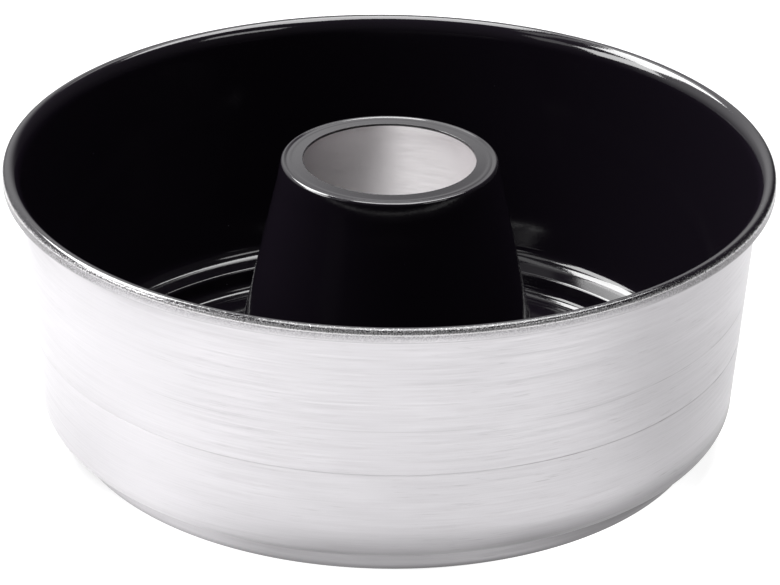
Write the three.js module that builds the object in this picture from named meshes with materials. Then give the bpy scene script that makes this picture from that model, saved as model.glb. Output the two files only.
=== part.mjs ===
// Ring pan of a stovetop oven, in millimetres, +Z up, standing on z = 0 with its axis on Z.
//
// The pan is one aluminium sheet, drawn and spun to shape, with a black non-stick coat on its baking side.
// Both solids are revolved from one path, the middle of the sheet. The path starts at the edge of the
// chimney's hole and runs over the lip, down the chimney, across the floor, over the foot's step,
// up the wall and round the curled rim. The coat lies on the left of the path: it begins on the hole's
// cut edge and stops on the rim where the curl turns down, so the outside of the rim is bare.

import * as THREE from 'three';

// Sheet and coat
const sheetThickness = 0.8;
const coatThickness = 0.05;
const coatClearance = 0.01; // keeps the coat's solid apart from the sheet's

// Rolled rim, measured over the coat
const rimDiameter = 250;
const rimHeight = 94;
const curlDrop = 4.2; // from the top of the curl down to its free edge
const shoulderWidth = 2.46; // between the lines of the curl's leg and of the slope that leads to it

// Wall, measured on its bare outer face
const rimOverhang = 5; // from the top of the wall's line out to the rim's edge
const neckDepth = 2.9; // from the top of the rim down to the top of the wall's line
const wallBaseDiameter = 227.2; // where the lines of the wall and the ledge cross
const wallBaseHeight = 10.3;

// Foot, measured on its bare outer face
const footDiameter = 211.6;
const footHeight = 7.8; // from the underside up to the crease where the foot meets the sloping ledge

// Chimney, measured over the coat
const chimneyHeight = 94;
const chimneyBaseDiameter = 110.6; // where the lines of the cone and the floor cross
const lipDiameter = 69.8; // where the lines of the cone and the lip cross
const holeDiameter = 56.2;

// Bends, each the radius on the inside of the bend
const lipBend = 0.3;
const chimneyBaseBend = 8;
const footBend = 4.2;
const ledgeBend = 0.5;
const wallBend = 6;
const neckBend = 6;
const shoulderBend = 2.1;
const curlBend = 1;

// Facets
const turnSegments = 48;
const bendStep = THREE.MathUtils.degToRad(35);

const bareFace = sheetThickness / 2;
const coatUnderside = bareFace + coatClearance;
const coatedFace = coatUnderside + coatThickness;
const lipLevel = chimneyHeight - coatedFace;
const holeEdgeRadius = holeDiameter / 2 + coatClearance + coatThickness;

/** The corners of the sheet's middle line, from the chimney's hole to the rim's free edge. */
function sheetCorners() {
  const floorLevel = bareFace;
  const footRadius = footDiameter / 2 - bareFace;
  const legRadius = rimDiameter / 2 - coatedFace;
  const curlLevel = rimHeight - coatedFace;
  return [
    { radius: holeEdgeRadius, height: lipLevel },
    { radius: lipDiameter / 2 - coatedFace, height: lipLevel, bend: lipBend },
    { radius: chimneyBaseDiameter / 2 - coatedFace, height: floorLevel, bend: chimneyBaseBend },
    { radius: footRadius, height: floorLevel, bend: footBend },
    { radius: footRadius, height: footHeight + bareFace, bend: ledgeBend },
    { radius: wallBaseDiameter / 2 - bareFace, height: wallBaseHeight + bareFace, bend: wallBend },
    { radius: rimDiameter / 2 - rimOverhang - bareFace, height: rimHeight - neckDepth, bend: neckBend },
    { radius: legRadius - shoulderWidth, height: curlLevel, bend: shoulderBend },
    { radius: legRadius, height: curlLevel, bend: curlBend },
    { radius: legRadius, height: rimHeight - curlDrop },
  ];
}

/** The direction that lies a quarter turn to the left of a direction. */
function leftOf(direction) {
  return new THREE.Vector2(-direction.y, direction.x);
}

/** The arc that rounds one corner, as points with their normals to the left of the path. */
function roundedCorner(before, corner, after, bendRadius) {
  const into = corner.clone().sub(before).normalize();
  const out = after.clone().sub(corner).normalize();
  const turn = Math.atan2(into.cross(out), into.dot(out));
  const side = Math.sign(turn);
  const reach = bendRadius * Math.tan(Math.abs(turn) / 2);
  const start = corner.clone().addScaledVector(into, -reach);
  const centre = start.clone().addScaledVector(leftOf(into), side * bendRadius);
  const steps = Math.ceil(Math.abs(turn) / bendStep);
  return Array.from({ length: steps + 1 }, (_, step) => {
    const normal = leftOf(into).rotateAround(new THREE.Vector2(), (turn * step) / steps);
    return { point: centre.clone().addScaledVector(normal, -side * bendRadius), normal };
  });
}

/** The whole middle line with its corners rounded. Where two arcs meet, their shared point is kept once. */
function sheetPath() {
  const samePoint = 1e-4;
  const corners = sheetCorners();
  const places = corners.map(({ radius, height }) => new THREE.Vector2(radius, height));
  const last = places.length - 1;
  const endNormal = (from, to) => leftOf(places[to].clone().sub(places[from]).normalize());
  const path = [{ point: places[0], normal: endNormal(0, 1) }];
  for (let i = 1; i < last; i++) {
    const arc = roundedCorner(places[i - 1], places[i], places[i + 1], corners[i].bend + bareFace);
    const touchesLast = path.at(-1).point.distanceTo(arc[0].point) < samePoint;
    path.push(...(touchesLast ? arc.slice(1) : arc));
  }
  path.push({ point: places[last], normal: endNormal(last - 1, last) });
  return path;
}

/** The line that runs beside the path, at a distance to its left. */
function faceBeside(path, distance) {
  return path.map(({ point, normal }) => point.clone().addScaledVector(normal, distance));
}

/** A face of the coat: it starts on the hole's cut edge and stops where the curl turns down. */
function coatFace(path, distance) {
  const edge = holeEdgeRadius - (distance - bareFace);
  const overEdge = [
    new THREE.Vector2(edge, lipLevel - bareFace),
    new THREE.Vector2(edge, lipLevel + distance),
  ];
  return [...overEdge, ...faceBeside(path.slice(1, -1), distance)];
}

/** The closed ring about Z between a face on the right of the path and one further to its left. */
function revolvedLayer(rightFace, leftFace) {
  const outline = [...rightFace, ...leftFace.reverse()];
  outline.push(outline[0].clone());
  return new THREE.LatheGeometry(outline, turnSegments).rotateX(Math.PI / 2);
}

const bareAluminium = new THREE.MeshStandardMaterial({ color: 0xd9d9dd, roughness: 0.38, metalness: 1 });
const nonStickBlack = new THREE.MeshStandardMaterial({ color: 0x0b0b0d, roughness: 0.3, metalness: 0 });

const path = sheetPath();

const sheet = revolvedLayer(faceBeside(path, -bareFace), faceBeside(path, bareFace));
const panShell = new THREE.Mesh(sheet, bareAluminium);
panShell.name = 'pan_shell';

const coat = revolvedLayer(coatFace(path, coatUnderside), coatFace(path, coatedFace));
const nonStickCoat = new THREE.Mesh(coat, nonStickBlack);
nonStickCoat.name = 'nonstick_coat';

const pan = new THREE.Group();
pan.name = 'stovetop_oven_pan';
pan.add(panShell, nonStickCoat);

export default pan;
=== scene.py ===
import math

import bpy
import numpy as np
from mathutils import Matrix, Vector


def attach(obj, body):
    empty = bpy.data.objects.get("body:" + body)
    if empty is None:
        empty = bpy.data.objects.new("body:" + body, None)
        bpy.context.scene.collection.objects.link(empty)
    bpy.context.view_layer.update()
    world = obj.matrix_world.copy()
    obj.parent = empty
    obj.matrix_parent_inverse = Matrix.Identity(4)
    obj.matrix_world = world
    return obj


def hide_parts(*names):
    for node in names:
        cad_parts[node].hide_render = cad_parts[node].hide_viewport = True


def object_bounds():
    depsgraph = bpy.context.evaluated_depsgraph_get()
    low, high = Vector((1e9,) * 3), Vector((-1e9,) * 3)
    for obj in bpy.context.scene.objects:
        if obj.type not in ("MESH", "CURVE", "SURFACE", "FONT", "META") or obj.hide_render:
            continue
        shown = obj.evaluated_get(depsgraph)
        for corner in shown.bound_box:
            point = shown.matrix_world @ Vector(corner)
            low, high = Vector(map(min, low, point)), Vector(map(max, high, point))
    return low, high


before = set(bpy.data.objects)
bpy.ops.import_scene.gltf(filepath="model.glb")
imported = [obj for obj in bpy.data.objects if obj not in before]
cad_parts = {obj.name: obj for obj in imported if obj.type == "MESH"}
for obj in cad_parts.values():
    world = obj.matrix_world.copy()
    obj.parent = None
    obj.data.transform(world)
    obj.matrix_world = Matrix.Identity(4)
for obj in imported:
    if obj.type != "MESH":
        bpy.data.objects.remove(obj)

cad_box = [list(corner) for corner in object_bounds()]

# The finished look of a ring pan: a spun aluminium sheet and the black coat on its baking side.
# Both are revolved from one line, the middle of the sheet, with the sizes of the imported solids.

MM = 0.001

# Sheet and coat, in millimetres
SHEET = 0.8
COAT = 0.05
COAT_CLEARANCE = 0.01
BARE_FACE = SHEET / 2
COAT_UNDERSIDE = BARE_FACE + COAT_CLEARANCE
COATED_FACE = COAT_UNDERSIDE + COAT

# Rolled rim, over the coat
RIM_RADIUS = cad_box[1][0] / MM
RIM_HEIGHT = cad_box[1][2] / MM
CURL_DROP = 4.2
SHOULDER_WIDTH = 2.46

# Wall and foot, on their bare outer faces
RIM_OVERHANG = 5.0
NECK_DEPTH = 2.9
WALL_BASE_RADIUS = 113.6
WALL_BASE_HEIGHT = 10.3
FOOT_RADIUS = 105.8
FOOT_HEIGHT = 7.8

# Chimney, over the coat
CHIMNEY_HEIGHT = 94.0
CHIMNEY_BASE_RADIUS = 55.3
LIP_RADIUS = 34.9
HOLE_RADIUS = 28.1
HOLE_EDGE_RADIUS = HOLE_RADIUS + COAT_CLEARANCE + COAT
LIP_LEVEL = CHIMNEY_HEIGHT - COATED_FACE

# Bends, each the radius on the inside of the bend
LIP_BEND = 0.3
CHIMNEY_BASE_BEND = 8.0
FOOT_BEND = 4.2
LEDGE_BEND = 0.5
WALL_BEND = 6.0
NECK_BEND = 6.0
SHOULDER_BEND = 2.1
CURL_BEND = 1.0
CURL_CENTRE_RADIUS = RIM_RADIUS - COATED_FACE - BARE_FACE - CURL_BEND
CURL_CENTRE_HEIGHT = RIM_HEIGHT - COATED_FACE - BARE_FACE - CURL_BEND

# Fine forms that only the finished surface has
EDGE_ROUNDING = 0.08
SCORE_HEIGHT = 40.6
SCORE_DEPTH = 0.09
SCORE_WIDTH = 0.22
LIP_REACH = 6.0  # how far below the lip's level its fine forms end
LIP_SINK = 0.34  # fall of the lip's flat from the hole's edge out to its ridge
LIP_RIDGE_RADIUS = 32.5
LIP_RIDGE_HEIGHT = 0.09
LIP_RIDGE_WIDTH = 0.6
LIP_BEAD_RADIUS = 34.3
LIP_BEAD_WIDTH = 1.0
LIP_BULGE = 0.35
LIP_BULGE_DROP = 0.7
LIP_BULGE_WIDTH = 0.9
LIP_BULGE_START = 33.8
COAT_END_ON_CURL = math.radians(82)
COAT_END_SHARE = 0.15  # of the coat's thickness, at its sprayed end
COAT_THINNING = 0.8  # length over which it grows to the whole thickness

# Fineness of the meshes
TURNS = 240
BEND_STEP = math.radians(5)
STRAIGHT_STEP = 6.0
LIP_POINTS = 28
SCORE_POINTS = 7
QUARTER_TURN = np.radians([0, 30, 60, 90])

# Tones of the bare metal, of what lies on it, and of the painted shade and painted light on it
METAL_DARK = (0.51, 0.498, 0.515, 1)
METAL_LIGHT = (0.556, 0.543, 0.561, 1)
METAL_LINE = (0.44, 0.43, 0.445, 1)
METAL_DASH = (0.30, 0.29, 0.30, 1)
METAL_FAR_LEFT_SHADE = (0.36, 0.352, 0.365, 1)
METAL_BASE_SHADE = (0.14, 0.136, 0.141, 1)
FLUE_PAINTED_LIGHT = (0.80, 0.775, 0.785, 1)
FOOT_SHADE = (0.04, 0.039, 0.041, 1)
SCORE_LINE_DARK = (0.16, 0.155, 0.16, 1)
SPRAY_DUST_AND_SHADE = (0.10, 0.097, 0.10, 1)

# Tones of the coat and of the floor
COAT_BLACK = (0.0046, 0.0035, 0.0056, 1)
COAT_SPECK = (0.12, 0.12, 0.13, 1)
COAT_FRAYED = (0.60, 0.59, 0.60, 1)
FLOOR_DARK = (0.34, 0.34, 0.342, 1)
FLOOR_LIGHT = (0.36, 0.36, 0.36, 1)
FLOOR_BELOW = (0.10, 0.10, 0.10, 1)
WHITE = (1.0, 1.0, 1.0, 1)

# Dark lines round the wall: height, the x where each begins to show, and its strength on the right
SCORE_MARKS = ((SCORE_HEIGHT, 20, 0.75), (56.0, 60, 0.45))

# The camera that fits the photograph's rim, lip, hole and base
PHOTO_WIDTH = 780  # pixels
FOCAL_PIXELS = 4053.2
CAMERA_DISTANCE = 1332.0
CAMERA_AIM = (0.74, 0.0, 45.77)
CAMERA_DIP = math.radians(26.02)
CAMERA_ROLL = math.radians(0.82)

# Soft lights as the pan sees them: azimuth, elevation, width and height in degrees, and radiance
LIGHT_DISTANCE = 1200.0
LIGHT_AIM_HEIGHT = 70.0
SOFTBOXES = {
    "main_softbox": (144, 48, 40, 21.5, 20.5),
    "left_softbox": (184, 32, 26, 19, 12.3),
    "top_softbox": (69, 74, 37, 43, 11.0),
    "main_fringe": (165, 65, 40, 7, 1.6),
    "left_fringe": (210, 40, 12, 14, 1.4),
    "back_panel": (95, 47, 30, 16, 2.6),
    "front_panel": (-31, 48, 22, 8, 4.5),
}


def sheet_corners():
    """Corners (radius, height, bend) of the sheet's middle line, from the hole's edge to the rim's end."""
    leg = RIM_RADIUS - COATED_FACE
    curl_top = RIM_HEIGHT - COATED_FACE
    foot = FOOT_RADIUS - BARE_FACE
    return [
        (HOLE_EDGE_RADIUS, LIP_LEVEL, 0),
        (LIP_RADIUS - COATED_FACE, LIP_LEVEL, LIP_BEND),
        (CHIMNEY_BASE_RADIUS - COATED_FACE, BARE_FACE, CHIMNEY_BASE_BEND),
        (foot, BARE_FACE, FOOT_BEND),
        (foot, FOOT_HEIGHT + BARE_FACE, LEDGE_BEND),
        (WALL_BASE_RADIUS - BARE_FACE, WALL_BASE_HEIGHT + BARE_FACE, WALL_BEND),
        (RIM_RADIUS - RIM_OVERHANG - BARE_FACE, RIM_HEIGHT - NECK_DEPTH, NECK_BEND),
        (leg - SHOULDER_WIDTH, curl_top, SHOULDER_BEND),
        (leg, curl_top, CURL_BEND),
        (leg, RIM_HEIGHT - CURL_DROP, 0),
    ]


def left_of(direction):
    """A quarter turn to the left: (r, z) becomes (-z, r)."""
    return np.stack([-direction[..., 1], direction[..., 0]], -1)


def bend_arc(before, corner, after, bend):
    """The arc that rounds a corner, with its normals to the left of the line. Each point is the centre less
    the bend times the normal where the line turns left, and plus it where the line turns right."""
    into = (corner - before) / np.linalg.norm(corner - before)
    out = (after - corner) / np.linalg.norm(after - corner)
    turn = math.atan2(into[0] * out[1] - into[1] * out[0], float(into @ out))
    side = math.copysign(1, turn)
    start = corner - into * bend * math.tan(abs(turn) / 2)
    centre = start + left_of(into) * side * bend
    angle = turn * np.linspace(0, 1, math.ceil(abs(turn) / BEND_STEP) + 1)
    first = left_of(into)
    normal = np.outer(np.cos(angle), first) + np.outer(np.sin(angle), left_of(first))
    return centre - normal * side * bend, normal


def straight_run(start, end, normal):
    """Evenly spaced points strictly between two ends, all with the run's own normal."""
    parts = max(1, round(float(np.linalg.norm(end - start)) / STRAIGHT_STEP))
    share = np.arange(1, parts)[:, None] / parts
    return start + (end - start) * share, np.repeat(normal[None], parts - 1, 0)


def sheet_line():
    """The sheet's middle line as points and left normals: corners are rounded, straight runs divided."""
    same_point = 1e-4
    corners = np.array(sheet_corners())
    place, bend = corners[:, :2], corners[:, 2]
    heading = np.diff(place, axis=0)
    heading /= np.linalg.norm(heading, axis=1)[:, None]
    normal = left_of(heading)
    points, normals = [place[:1]], [normal[:1]]
    for k in range(1, len(place) - 1):
        arc, arc_normal = bend_arc(place[k - 1], place[k], place[k + 1], bend[k] + BARE_FACE)
        run, run_normal = straight_run(points[-1][-1], arc[0], normal[k - 1])
        touching = int(np.linalg.norm(points[-1][-1] - arc[0]) < same_point)
        points += [run, arc[touching:]]
        normals += [run_normal, arc_normal[touching:]]
    points.append(place[-1:])
    normals.append(normal[-1:])
    return np.concatenate(points), np.concatenate(normals)


def with_lip_rings(points, normals):
    """The line with the lip's fine rings: the flat falls outward below the bead at its edge, a low ridge
    runs round it, and the bend swells outward a little. Each is a bell curve or a smooth step."""
    first, last = points[0], points[1]
    share = np.linspace(0, 1, LIP_POINTS + 2)[1:-1, None]
    points = np.insert(points, 1, first + share * (last - first), axis=0)
    normals = np.insert(normals, 1, np.repeat(normals[:1], LIP_POINTS, 0), axis=0)
    r, z = points[:, 0], points[:, 1]
    near_lip = (z > LIP_LEVEL - LIP_REACH) & (r < CHIMNEY_BASE_RADIUS)
    rise = np.clip((r - LIP_BEAD_RADIUS) / LIP_BEAD_WIDTH + 1, 0, 1)
    fall = np.clip((r - HOLE_EDGE_RADIUS) / (LIP_RIDGE_RADIUS - HOLE_EDGE_RADIUS), 0, 1)
    sink = LIP_SINK * fall * (1 - rise ** 2 * (3 - 2 * rise))
    ridge = LIP_RIDGE_HEIGHT * np.exp(-((r - LIP_RIDGE_RADIUS) / LIP_RIDGE_WIDTH) ** 2)
    bulge = LIP_BULGE * np.exp(-((z - LIP_LEVEL + LIP_BULGE_DROP) / LIP_BULGE_WIDTH) ** 2)
    out = bulge * near_lip * (r > LIP_BULGE_START)
    up = (ridge - sink) * near_lip * (r < LIP_BEAD_RADIUS)
    return np.stack([r + out, z + up], -1), normals


def with_score_line(points, normals):
    """The line with extra points where the wall is scored, evenly spread over three widths of the groove."""
    across = SCORE_HEIGHT + SCORE_WIDTH * np.linspace(-1.5, 1.5, SCORE_POINTS)
    clear = (np.abs(points[:, 1] - SCORE_HEIGHT) > 2 * SCORE_WIDTH) | (points[:, 0] < FOOT_RADIUS)
    points, normals = points[clear], normals[clear]
    under_score = (points[::-1, 1] < SCORE_HEIGHT) & (points[::-1, 0] > FOOT_RADIUS)
    low = len(points) - 1 - np.argmax(under_score)
    share = (across - points[low, 1]) / (points[low + 1, 1] - points[low, 1])
    extra = points[low] + share[:, None] * (points[low + 1] - points[low])
    return (np.insert(points, low + 1, extra, axis=0),
            np.insert(normals, low + 1, np.repeat(normals[low][None], SCORE_POINTS, 0), axis=0))


def rounded_end(corner_a, corner_b):
    """A cut edge between two corners of an outline: each corner becomes a quarter arc of EDGE_ROUNDING."""
    along = (corner_b - corner_a) / np.linalg.norm(corner_b - corner_a)
    back = left_of(along)
    angle = QUARTER_TURN[:, None]
    first = corner_a + EDGE_ROUNDING * ((1 - np.sin(angle)) * back + (1 - np.cos(angle)) * along)
    last = corner_b + EDGE_ROUNDING * ((1 - np.cos(angle)) * back - (1 - np.sin(angle)) * along)
    return np.concatenate([first, last])


def shell_outline(points, normals):
    """The sheet's closed outline: the bare face, the rim's end, the coated face and the hole's edge.
    The scored line in the bare face is a groove with the profile of a bell curve."""
    bare = points - normals * BARE_FACE
    on_wall = bare[:, 0] > FOOT_RADIUS
    groove = SCORE_DEPTH * np.exp(-((bare[:, 1] - SCORE_HEIGHT) / SCORE_WIDTH) ** 2) * on_wall
    bare = bare + normals * groove[:, None]
    coated = points + normals * BARE_FACE
    rim_end = rounded_end(bare[-1], coated[-1])
    hole_edge = rounded_end(coated[0], bare[0])
    return np.concatenate([bare[1:-1], rim_end, coated[-2:0:-1], hole_edge])


def coat_line(points, normals):
    """The line under the coat: from the lip to the first point past COAT_END_ON_CURL on the curl."""
    turned = (normals[:, 0] > math.sin(COAT_END_ON_CURL)) & (points[:, 0] > RIM_RADIUS - RIM_OVERHANG)
    end = np.argmax(turned)
    return points[1:end + 1], normals[1:end + 1]


def over_hole_edge(top, gap, corner):
    """A face of the coat, at a gap from the hole's cut edge: straight up, then a quarter arc outward."""
    edge = HOLE_EDGE_RADIUS - gap
    angle = QUARTER_TURN[::-1]
    arc = np.stack([edge + corner * (1 - np.sin(angle)), top + gap - corner * (1 - np.cos(angle))], -1)
    foot = [edge, top - SHEET + EDGE_ROUNDING]
    return np.concatenate([[foot], arc])


def coat_outline(points, normals):
    """The coat's closed outline: over the hole's cut edge with a round corner, and thinning on the curl."""
    sheet_top = points[0, 1] + BARE_FACE
    points, normals = coat_line(points, normals)
    lengths = np.linalg.norm(np.diff(points[::-1], axis=0), axis=1)
    to_end = np.concatenate([[0], np.cumsum(lengths)])[::-1]
    thick = COAT * np.clip(COAT_END_SHARE + to_end / COAT_THINNING, 0, 1)
    face = points + normals * (COAT_UNDERSIDE + thick)[:, None]
    under = np.concatenate([over_hole_edge(sheet_top, COAT_CLEARANCE, EDGE_ROUNDING),
                            points + normals * COAT_UNDERSIDE])
    over = np.concatenate([over_hole_edge(sheet_top, COAT_CLEARANCE + COAT, EDGE_ROUNDING + COAT), face])
    return np.concatenate([under, over[::-1]])


def revolved_piece(name, outline):
    """A closed outline carried round Z: x = r cos a, y = r sin a, z = z.
    Its UV map holds the turn from 0 to 1 and the outline's length in metres."""
    count = len(outline)
    r, z = outline[:, 0] * MM, outline[:, 1] * MM
    a = np.linspace(0, 2 * math.pi, TURNS, endpoint=False)[:, None]
    xyz = np.stack([np.cos(a) * r, np.sin(a) * r, np.broadcast_to(z, (TURNS, count))], -1)
    turn, step = np.meshgrid(np.arange(TURNS), np.arange(count), indexing="ij")
    next_turn, next_step = (turn + 1) % TURNS, (step + 1) % count
    quads = np.stack([turn * count + step, next_turn * count + step,
                      next_turn * count + next_step, turn * count + next_step], -1).reshape(-1)
    closed = np.concatenate([outline, outline[:1]]) * MM
    length = np.concatenate([[0], np.cumsum(np.linalg.norm(np.diff(closed, axis=0), axis=1))])
    u = np.stack([turn, turn + 1, turn + 1, turn], -1) / TURNS
    v = length[np.stack([step, step, step + 1, step + 1], -1)]
    uv = np.stack([u, v], -1).astype(np.float32).reshape(-1)
    mesh = bpy.data.meshes.new(name)
    mesh.vertices.add(TURNS * count)
    mesh.vertices.foreach_set("co", xyz.astype(np.float32).reshape(-1))
    mesh.loops.add(len(quads))
    mesh.loops.foreach_set("vertex_index", quads.astype(np.int32))
    mesh.polygons.add(TURNS * count)
    mesh.polygons.foreach_set("loop_start", np.arange(0, len(quads), 4, dtype=np.int32))
    mesh.update(calc_edges=True)
    mesh.uv_layers.new(name="turned").data.foreach_set("uv", uv)
    mesh.shade_smooth()
    mesh.validate()
    piece = bpy.data.objects.new(name, mesh)
    bpy.context.scene.collection.objects.link(piece)
    return piece


class Nodes:
    """The node tree of a material or of the world, with short ways to add and join nodes."""

    def __init__(self, owner):
        owner.use_nodes = True
        self.tree = owner.node_tree

    def add(self, kind, inputs=(), **settings):
        """A new node: settings go on the node, and each input takes a socket or a value."""
        node = self.tree.nodes.new(kind)
        for key, value in settings.items():
            setattr(node, key, value)
        for key, value in dict(inputs).items():
            self.put(value, node.inputs[key])
        return node

    def put(self, value, socket):
        """Links a socket, or sets the default where the value is plain."""
        if isinstance(value, bpy.types.NodeSocket):
            self.tree.links.new(value, socket)
        else:
            socket.default_value = value

    def math(self, operation, a, b=0.0):
        """A Math node of two inputs."""
        return self.add("ShaderNodeMath", {0: a, 1: b}, operation=operation).outputs[0]

    def vector(self, operation, inputs, output="Vector"):
        """A Vector Math node."""
        return self.add("ShaderNodeVectorMath", inputs, operation=operation).outputs[output]

    def product(self, first, *others):
        """All the values multiplied."""
        for other in others:
            first = self.math("MULTIPLY", first, other)
        return first

    def largest(self, first, *others):
        """The largest of the values."""
        for other in others:
            first = self.math("MAXIMUM", first, other)
        return first

    def ramp(self, value, low, high, to_low=0.0, to_high=1.0):
        """A smooth step of a value from low to high."""
        node = self.add("ShaderNodeMapRange", {"Value": value, "From Min": low, "From Max": high,
                                               "To Min": to_low, "To Max": to_high},
                        interpolation_type="SMOOTHSTEP")
        return node.outputs["Result"]

    def noise(self, vector, scale, detail, roughness):
        """A noise texture's value from 0 to 1."""
        return self.add("ShaderNodeTexNoise", {"Vector": vector, "Scale": scale, "Detail": detail,
                                               "Roughness": roughness}).outputs["Fac"]

    def blend(self, share, a, b):
        """Colour a where the share is 0 and b where it is 1."""
        first_colour, second_colour, result_colour = 6, 7, 2
        node = self.add("ShaderNodeMix", {"Factor": share}, data_type="RGBA")
        self.put(a, node.inputs[first_colour])
        self.put(b, node.inputs[second_colour])
        return node.outputs[result_colour]


class Surface(Nodes):
    """A material's nodes. The place on the piece is in metres, and x, y, z and the distance from the pan's
    axis are in millimetres."""

    def __init__(self, name):
        self.material = bpy.data.materials.new(name)
        super().__init__(self.material)
        self.finish = self.tree.nodes["Principled BSDF"].inputs
        self.place = self.add("ShaderNodeTexCoord").outputs["Object"]
        in_mm = self.vector("SCALE", {0: self.place, "Scale": 1 / MM})
        self.x, self.y, self.z = self.add("ShaderNodeSeparateXYZ", {0: in_mm}).outputs
        self.level = self.add("ShaderNodeCombineXYZ", {"X": self.x, "Y": self.y}).outputs[0]
        self.radius = self.vector("LENGTH", {0: self.level}, "Value")

    def turned(self, around, along):
        """Coordinates that run round the pan without a seam: the unit direction from the axis times around,
        and the outline's length in metres times along."""
        uv = self.add("ShaderNodeUVMap", uv_map="turned").outputs[0]
        length = self.add("ShaderNodeSeparateXYZ", {0: uv}).outputs["Y"]
        climb = self.add("ShaderNodeCombineXYZ", {"Z": self.math("MULTIPLY", length, along)}).outputs[0]
        outward = self.vector("NORMALIZE", {0: self.level})
        spun = self.vector("SCALE", {0: outward, "Scale": around})
        return self.vector("ADD", {0: spun, 1: climb})

    def toward_sides(self):
        """0 on the pan's front and back, 1 towards its left and right ends."""
        return self.ramp(self.math("ABSOLUTE", self.x), 55, 105)

    def bump(self, height, distance, normal=None):
        """A bump of this height, in metres at full strength."""
        node = self.add("ShaderNodeBump", {"Height": height, "Distance": distance, "Strength": 1.0})
        if normal is not None:
            self.put(normal, node.inputs["Normal"])
        return node.outputs["Normal"]


def base_painted_shade(n):
    """How far the metal is darkened near its base, as painted shade for the shaded floor close to the pan
    seen in it: it grows down the wall's lower bend and is even on the foot.
    The far left is bright and the right side is the darkest."""
    crease_low, crease_high = FOOT_HEIGHT - 0.4, FOOT_HEIGHT + 0.4
    bend_side = n.math("ADD", n.ramp(n.x, -75, -10, 0.0, 0.64), n.ramp(n.x, 15, 50, 0.0, 0.36))
    foot_side = n.math("ADD", n.ramp(n.x, -65, -30, 0.0, 0.38), n.ramp(n.x, 20, 75, 0.0, 0.50))
    down_bend = n.product(n.ramp(n.z, 8.0, 23.0, 1.0, 0.0), n.ramp(n.z, crease_low, crease_high))
    on_foot = n.ramp(n.z, crease_low, crease_high, 1.0, 0.0)
    return n.largest(n.product(down_bend, bend_side), n.product(on_foot, foot_side))


def foot_painted_shade(n):
    """The share of painted shade on the foot: a thin line in its crease, the shadow under the wall's
    overhang, that fades up the bend, weakest in the middle of the front, and a band of painted contact
    shade along its lower edge that is darkest on the right."""
    left_side = n.math("SUBTRACT", n.ramp(n.x, -65, -45, 0.0, 0.34), n.ramp(n.x, -20, 0, 0.0, 0.19))
    crease_side = n.math("ADD", left_side, n.ramp(n.x, 30, 60, 0.0, 0.17))
    crease = n.product(n.ramp(n.z, 6.2, 7.2), n.ramp(n.z, 9.8, 12.5, 1.0, 0.0), crease_side)
    lower_edge = n.product(n.ramp(n.z, 1.0, 4.2, 1.0, 0.0), n.ramp(n.x, -30, 35, 0.50, 0.85))
    return n.largest(crease, lower_edge)


def score_darkening(n):
    """The share of darker tone along the wall's scored line and along a second, shorter line above it.
    Both show in patches, mostly on the right."""
    half_line, half_fade, growth = 0.10, 0.26, 45
    least_mark, least_patch = 0.12, 0.45
    patches = n.ramp(n.noise(n.turned(5.0, 40.0), 1.0, 2.0, 0.5), 0.35, 0.6)
    marks = []
    for height, start, strength in SCORE_MARKS:
        off_line = n.math("ABSOLUTE", n.math("SUBTRACT", n.z, height))
        line = n.ramp(off_line, half_line, half_fade, 1.0, 0.0)
        marks.append(n.product(line, n.ramp(n.x, start, start + growth, least_mark, strength)))
    return n.product(n.largest(*marks), n.largest(patches, least_patch))


def spray_dust_and_edge_shade(n):
    """The share of black spray dust on the outside of the curl. In front it fades out down the curl's leg,
    at the sides it covers the leg. The cut edge is darkened as painted shade, the shadow under the curl's
    free edge."""
    side = n.toward_sides()
    outside = n.ramp(n.radius, 123.6, 124.0)
    side_leg = n.product(side, n.ramp(n.z, 89.3, 90.5))
    down_leg = n.largest(n.ramp(n.z, 89.0, 92.8), side_leg)
    grit = n.ramp(n.noise(n.place, 2400.0, 2.0, 0.6), 0.3, 0.7, 0.1, 0.75)
    grit = n.math("ADD", grit, n.product(side, 0.3))
    # painted shade: the shadow under the curl's free edge
    cut_edge_shade = n.ramp(n.z, 89.95, 90.25, 0.3, 0.0)
    return n.largest(n.product(outside, down_leg, grit), n.product(outside, cut_edge_shade))


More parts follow.
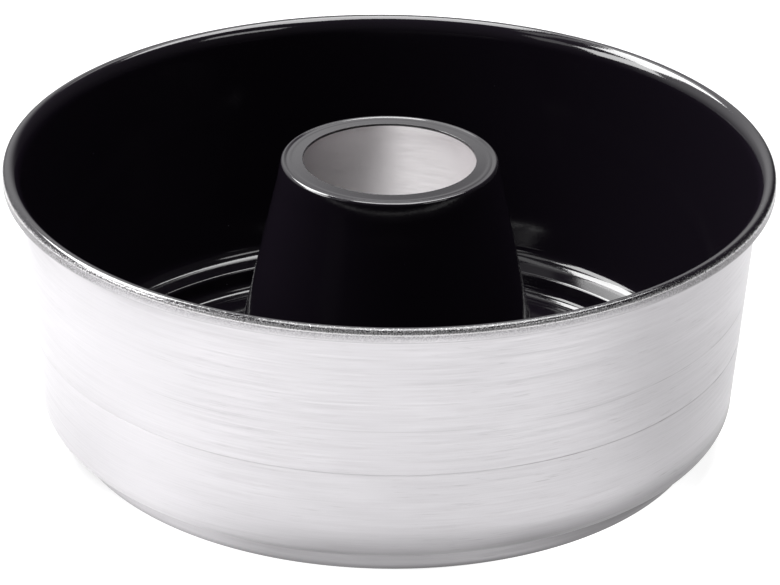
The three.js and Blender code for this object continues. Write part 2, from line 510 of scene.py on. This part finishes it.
def turned_aluminium():
    """Bare aluminium: fine lines left by spinning, short darker dashes among them, faint broad bands, and
    over these the marks of making and use, with painted shade on the far left, near the base, on the foot
    and at the curl's cut edge. The flue inside the chimney is painted brighter, as painted light, and plain."""
    line_relief, dash_relief = 4e-6, 8e-6
    n = Surface("turned_aluminium")
    lines = n.noise(n.turned(4.0, 2600.0), 1.0, 3.0, 0.6)
    dashes = n.ramp(n.noise(n.turned(13.0, 2300.0), 1.0, 2.0, 0.55), 0.60, 0.74)
    bands = n.noise(n.turned(1.2, 70.0), 1.0, 2.0, 0.5)
    patches = n.ramp(n.noise(n.turned(2.5, 60.0), 1.0, 1.0, 0.5), 0.35, 0.65, 0.35, 1.0)
    worn = n.ramp(n.x, -50, 70, 0.2, 0.45)
    flue = n.ramp(n.radius, 53.5, 56.5, 1.0, 0.0)
    layers = (
        (n.ramp(lines, 0.3, 0.75, 0.0, 0.25), METAL_LINE),
        (n.product(dashes, worn, patches), METAL_DASH),
        # painted shade: the far left of the wall is darkened against the lights' glare
        (n.ramp(n.x, -124, -98, 0.6, 0.0), METAL_FAR_LEFT_SHADE),
        # painted shade near the base and on the foot
        (base_painted_shade(n), METAL_BASE_SHADE),
        # painted shade in the foot's crease and along its lower edge
        (foot_painted_shade(n), FOOT_SHADE),
        (score_darkening(n), SCORE_LINE_DARK),
        # spray dust on the curl, with painted shade at its cut edge
        (spray_dust_and_edge_shade(n), SPRAY_DUST_AND_SHADE),
        # painted light: the flue's brighter tone of the same metal
        (flue, FLUE_PAINTED_LIGHT),
    )
    tone = n.blend(bands, METAL_DARK, METAL_LIGHT)
    for share, colour in layers:
        tone = n.blend(share, tone, colour)
    n.put(tone, n.finish["Base Color"])
    n.put(1.0, n.finish["Metallic"])
    satin = n.ramp(lines, 0.25, 0.75, 0.34, 0.44)
    n.put(n.math("SUBTRACT", satin, n.product(flue, 0.05)), n.finish["Roughness"])
    n.put(0.8, n.finish["Anisotropic"])
    n.put(0.25, n.finish["Anisotropic Rotation"])
    around = n.add("ShaderNodeTangent", direction_type="RADIAL", axis="Z").outputs[0]
    n.put(around, n.finish["Tangent"])
    off_flue = n.math("SUBTRACT", 1.0, flue)
    relief = n.bump(n.product(lines, off_flue), line_relief)
    relief = n.bump(n.product(dashes, -1.0, off_flue), dash_relief, relief)
    n.put(relief, n.finish["Normal"])
    return n.material


def frayed_edge(n):
    """1 where the metal shows through the coat's sprayed edge on the curl: a fine noise against a threshold
    that falls as the curl turns down from level, and is higher at the sides."""
    out = n.math("SUBTRACT", n.radius, CURL_CENTRE_RADIUS)
    up = n.math("SUBTRACT", n.z, CURL_CENTRE_HEIGHT)
    lean = n.math("ARCTAN2", out, up)
    cover = n.math("ADD", n.ramp(lean, 0.4, 1.5, 0.70, 0.30), n.product(n.toward_sides(), 0.12))
    grit = n.noise(n.place, 2400.0, 2.0, 0.6)
    shows = n.ramp(n.math("SUBTRACT", grit, cover), -0.2, 0.2)
    on_curl = n.ramp(out, -0.2, 0.2)
    return n.product(shows, on_curl)


def nonstick_black():
    """Black non-stick coat: semi-gloss, with a fine sprayed grain and a few tiny pale specks."""
    ripple_relief, grain_relief = 2.5e-6, 5e-6
    n = Surface("nonstick_black")
    grain = n.noise(n.place, 1400.0, 2.0, 0.5)
    ripple = n.noise(n.place, 420.0, 1.0, 0.5)
    cells = n.add("ShaderNodeTexVoronoi", {"Vector": n.place, "Scale": 160.0}, feature="F1")
    dots = n.ramp(cells.outputs["Distance"], 0.02, 0.035, 1.0, 0.0)
    cell_number = n.add("ShaderNodeSeparateColor", {0: cells.outputs["Color"]}).outputs[0]
    specks = n.product(dots, n.ramp(cell_number, 0.80, 0.82))
    bare = frayed_edge(n)
    black = n.blend(specks, COAT_BLACK, COAT_SPECK)
    n.put(n.blend(bare, black, COAT_FRAYED), n.finish["Base Color"])
    n.put(bare, n.finish["Metallic"])
    gloss = n.ramp(grain, 0.3, 0.7, 0.06, 0.11)
    n.put(n.math("ADD", gloss, n.product(bare, 0.3)), n.finish["Roughness"])
    n.put(1.5, n.finish["IOR"])
    relief = n.bump(ripple, ripple_relief)
    relief = n.bump(grain, grain_relief, relief)
    n.put(relief, n.finish["Normal"])
    return n.material


def pale_floor():
    """A pale matt floor with a hardly visible mottle that glows like a light table, as painted light. It
    glows round the pan, most in front, and a little more close to the pan on its shaded right, which paints
    out the pan's shadow there. Under the pan it is dark and only the left part glows."""
    n = Surface("pale_floor")
    mottle = n.noise(n.place, 6.0, 3.0, 0.5)
    outside = n.ramp(n.radius, 98, 104)
    pale = n.blend(mottle, FLOOR_DARK, FLOOR_LIGHT)
    n.put(n.blend(outside, FLOOR_BELOW, pale), n.finish["Base Color"])
    n.put(0.9, n.finish["Roughness"])
    n.put(0.0, n.finish["Specular IOR Level"])
    n.put(WHITE, n.finish["Emission Color"])
    frontness = n.math("DIVIDE", n.product(n.y, -1.0), n.radius)
    across_light = n.math("SUBTRACT", n.product(n.x, 0.9), n.product(n.y, 0.44))
    shade = n.ramp(n.math("DIVIDE", across_light, n.radius), 0.5, 0.9)
    # painted light: more glow close to the pan on its shaded right
    lift = n.ramp(n.radius, 127, 155, 0.34, -0.08)
    glow = n.math("ADD", n.ramp(frontness, 0.3, 0.85, 0.55, 1.05), n.product(shade, lift))
    # painted light under the pan, on its left only
    below = n.ramp(n.x, -26, 28, 1.1, 0.0)
    shine = n.add("ShaderNodeMix", {"Factor": outside, "A": below, "B": glow}, data_type="FLOAT")
    n.put(shine.outputs[0], n.finish["Emission Strength"])
    return n.material


def floor_sheet():
    """A flat square of floor a tenth of a millimetre under the foot, from its four corners."""
    half, level = 4000 * MM, -0.1 * MM
    corners = [[-half, -half, level], [half, -half, level], [half, half, level], [-half, half, level]]
    mesh = bpy.data.meshes.new("studio_floor")
    mesh.from_pydata(corners, [], [[0, 1, 2, 3]])
    mesh.materials.append(pale_floor())
    floor = bpy.data.objects.new("studio_floor", mesh)
    bpy.context.scene.collection.objects.link(floor)


def softbox(name, azimuth, elevation, width, height, radiance):
    """A soft rectangular light aimed at the pan. Its power is radiance times pi times its area."""
    distance = LIGHT_DISTANCE * MM
    light = bpy.data.lights.new(name, "AREA")
    light.shape = "RECTANGLE"
    light.size = 2 * distance * math.tan(math.radians(width / 2))
    light.size_y = 2 * distance * math.tan(math.radians(height / 2))
    light.energy = radiance * math.pi * light.size * light.size_y
    lamp = bpy.data.objects.new(name, light)
    az, el = math.radians(azimuth), math.radians(elevation)
    away = Vector((math.cos(az) * math.cos(el), math.sin(az) * math.cos(el), math.sin(el)))
    side = Vector((-math.sin(az), math.cos(az), 0))
    axes = Matrix((side, away.cross(side), away)).transposed().to_4x4()
    aim = Vector((0, 0, LIGHT_AIM_HEIGHT * MM))
    lamp.matrix_world = Matrix.Translation(aim + away * distance) @ axes
    bpy.context.scene.collection.objects.link(lamp)


def studio_sky():
    """White surroundings, bright towards the back left, dim on the right and dimmer near the horizon."""
    back_left = (-0.643, 0.766, 0)
    world = bpy.data.worlds.new("studio_sky")
    n = Nodes(world)
    way = n.add("ShaderNodeTexCoord").outputs["Generated"]
    toward = n.vector("DOT_PRODUCT", {0: way, 1: back_left}, "Value")
    height = n.add("ShaderNodeSeparateXYZ", {0: way}).outputs["Z"]
    brightness = n.product(n.ramp(toward, 0.35, 0.8, 0.06, 1.3), n.ramp(height, 0.0, 0.42, 0.25, 1.0))
    background = n.tree.nodes["Background"].inputs
    n.put(WHITE, background["Color"])
    n.put(brightness, background["Strength"])
    bpy.context.scene.world = world


def photo_camera():
    """The photograph's camera: a pinhole that looks down at its aim by the dip, with a slight roll."""
    forward = Vector((0, math.cos(CAMERA_DIP), -math.sin(CAMERA_DIP)))
    right = Vector((1, 0, 0))
    up = right.cross(forward)
    turned_right = right * math.cos(CAMERA_ROLL) + up * math.sin(CAMERA_ROLL)
    turned_up = up * math.cos(CAMERA_ROLL) - right * math.sin(CAMERA_ROLL)
    data = bpy.data.cameras.new("photo_camera")
    data.sensor_fit = "HORIZONTAL"
    data.lens = FOCAL_PIXELS * data.sensor_width / PHOTO_WIDTH
    camera = bpy.data.objects.new("photo_camera", data)
    axes = Matrix((turned_right, turned_up, -forward)).transposed().to_4x4()
    place = (Vector(CAMERA_AIM) - forward * CAMERA_DISTANCE) * MM
    camera.matrix_world = Matrix.Translation(place) @ axes
    bpy.context.scene.collection.objects.link(camera)
    bpy.context.scene.camera = camera


photo_camera()
floor_sheet()
studio_sky()
for box_name, box in SOFTBOXES.items():
    softbox(box_name, *box)

line, line_normals = with_score_line(*with_lip_rings(*sheet_line()))

spun_shell = revolved_piece("spun_shell", shell_outline(line, line_normals))
spun_shell.data.materials.append(turned_aluminium())
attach(spun_shell, "root")
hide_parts("pan_shell")

baking_coat = revolved_piece("baking_coat", coat_outline(line, line_normals))
baking_coat.data.materials.append(nonstick_black())
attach(baking_coat, "root")
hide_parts("nonstick_coat")

bpy.context.scene.view_settings.view_transform = "Standard"
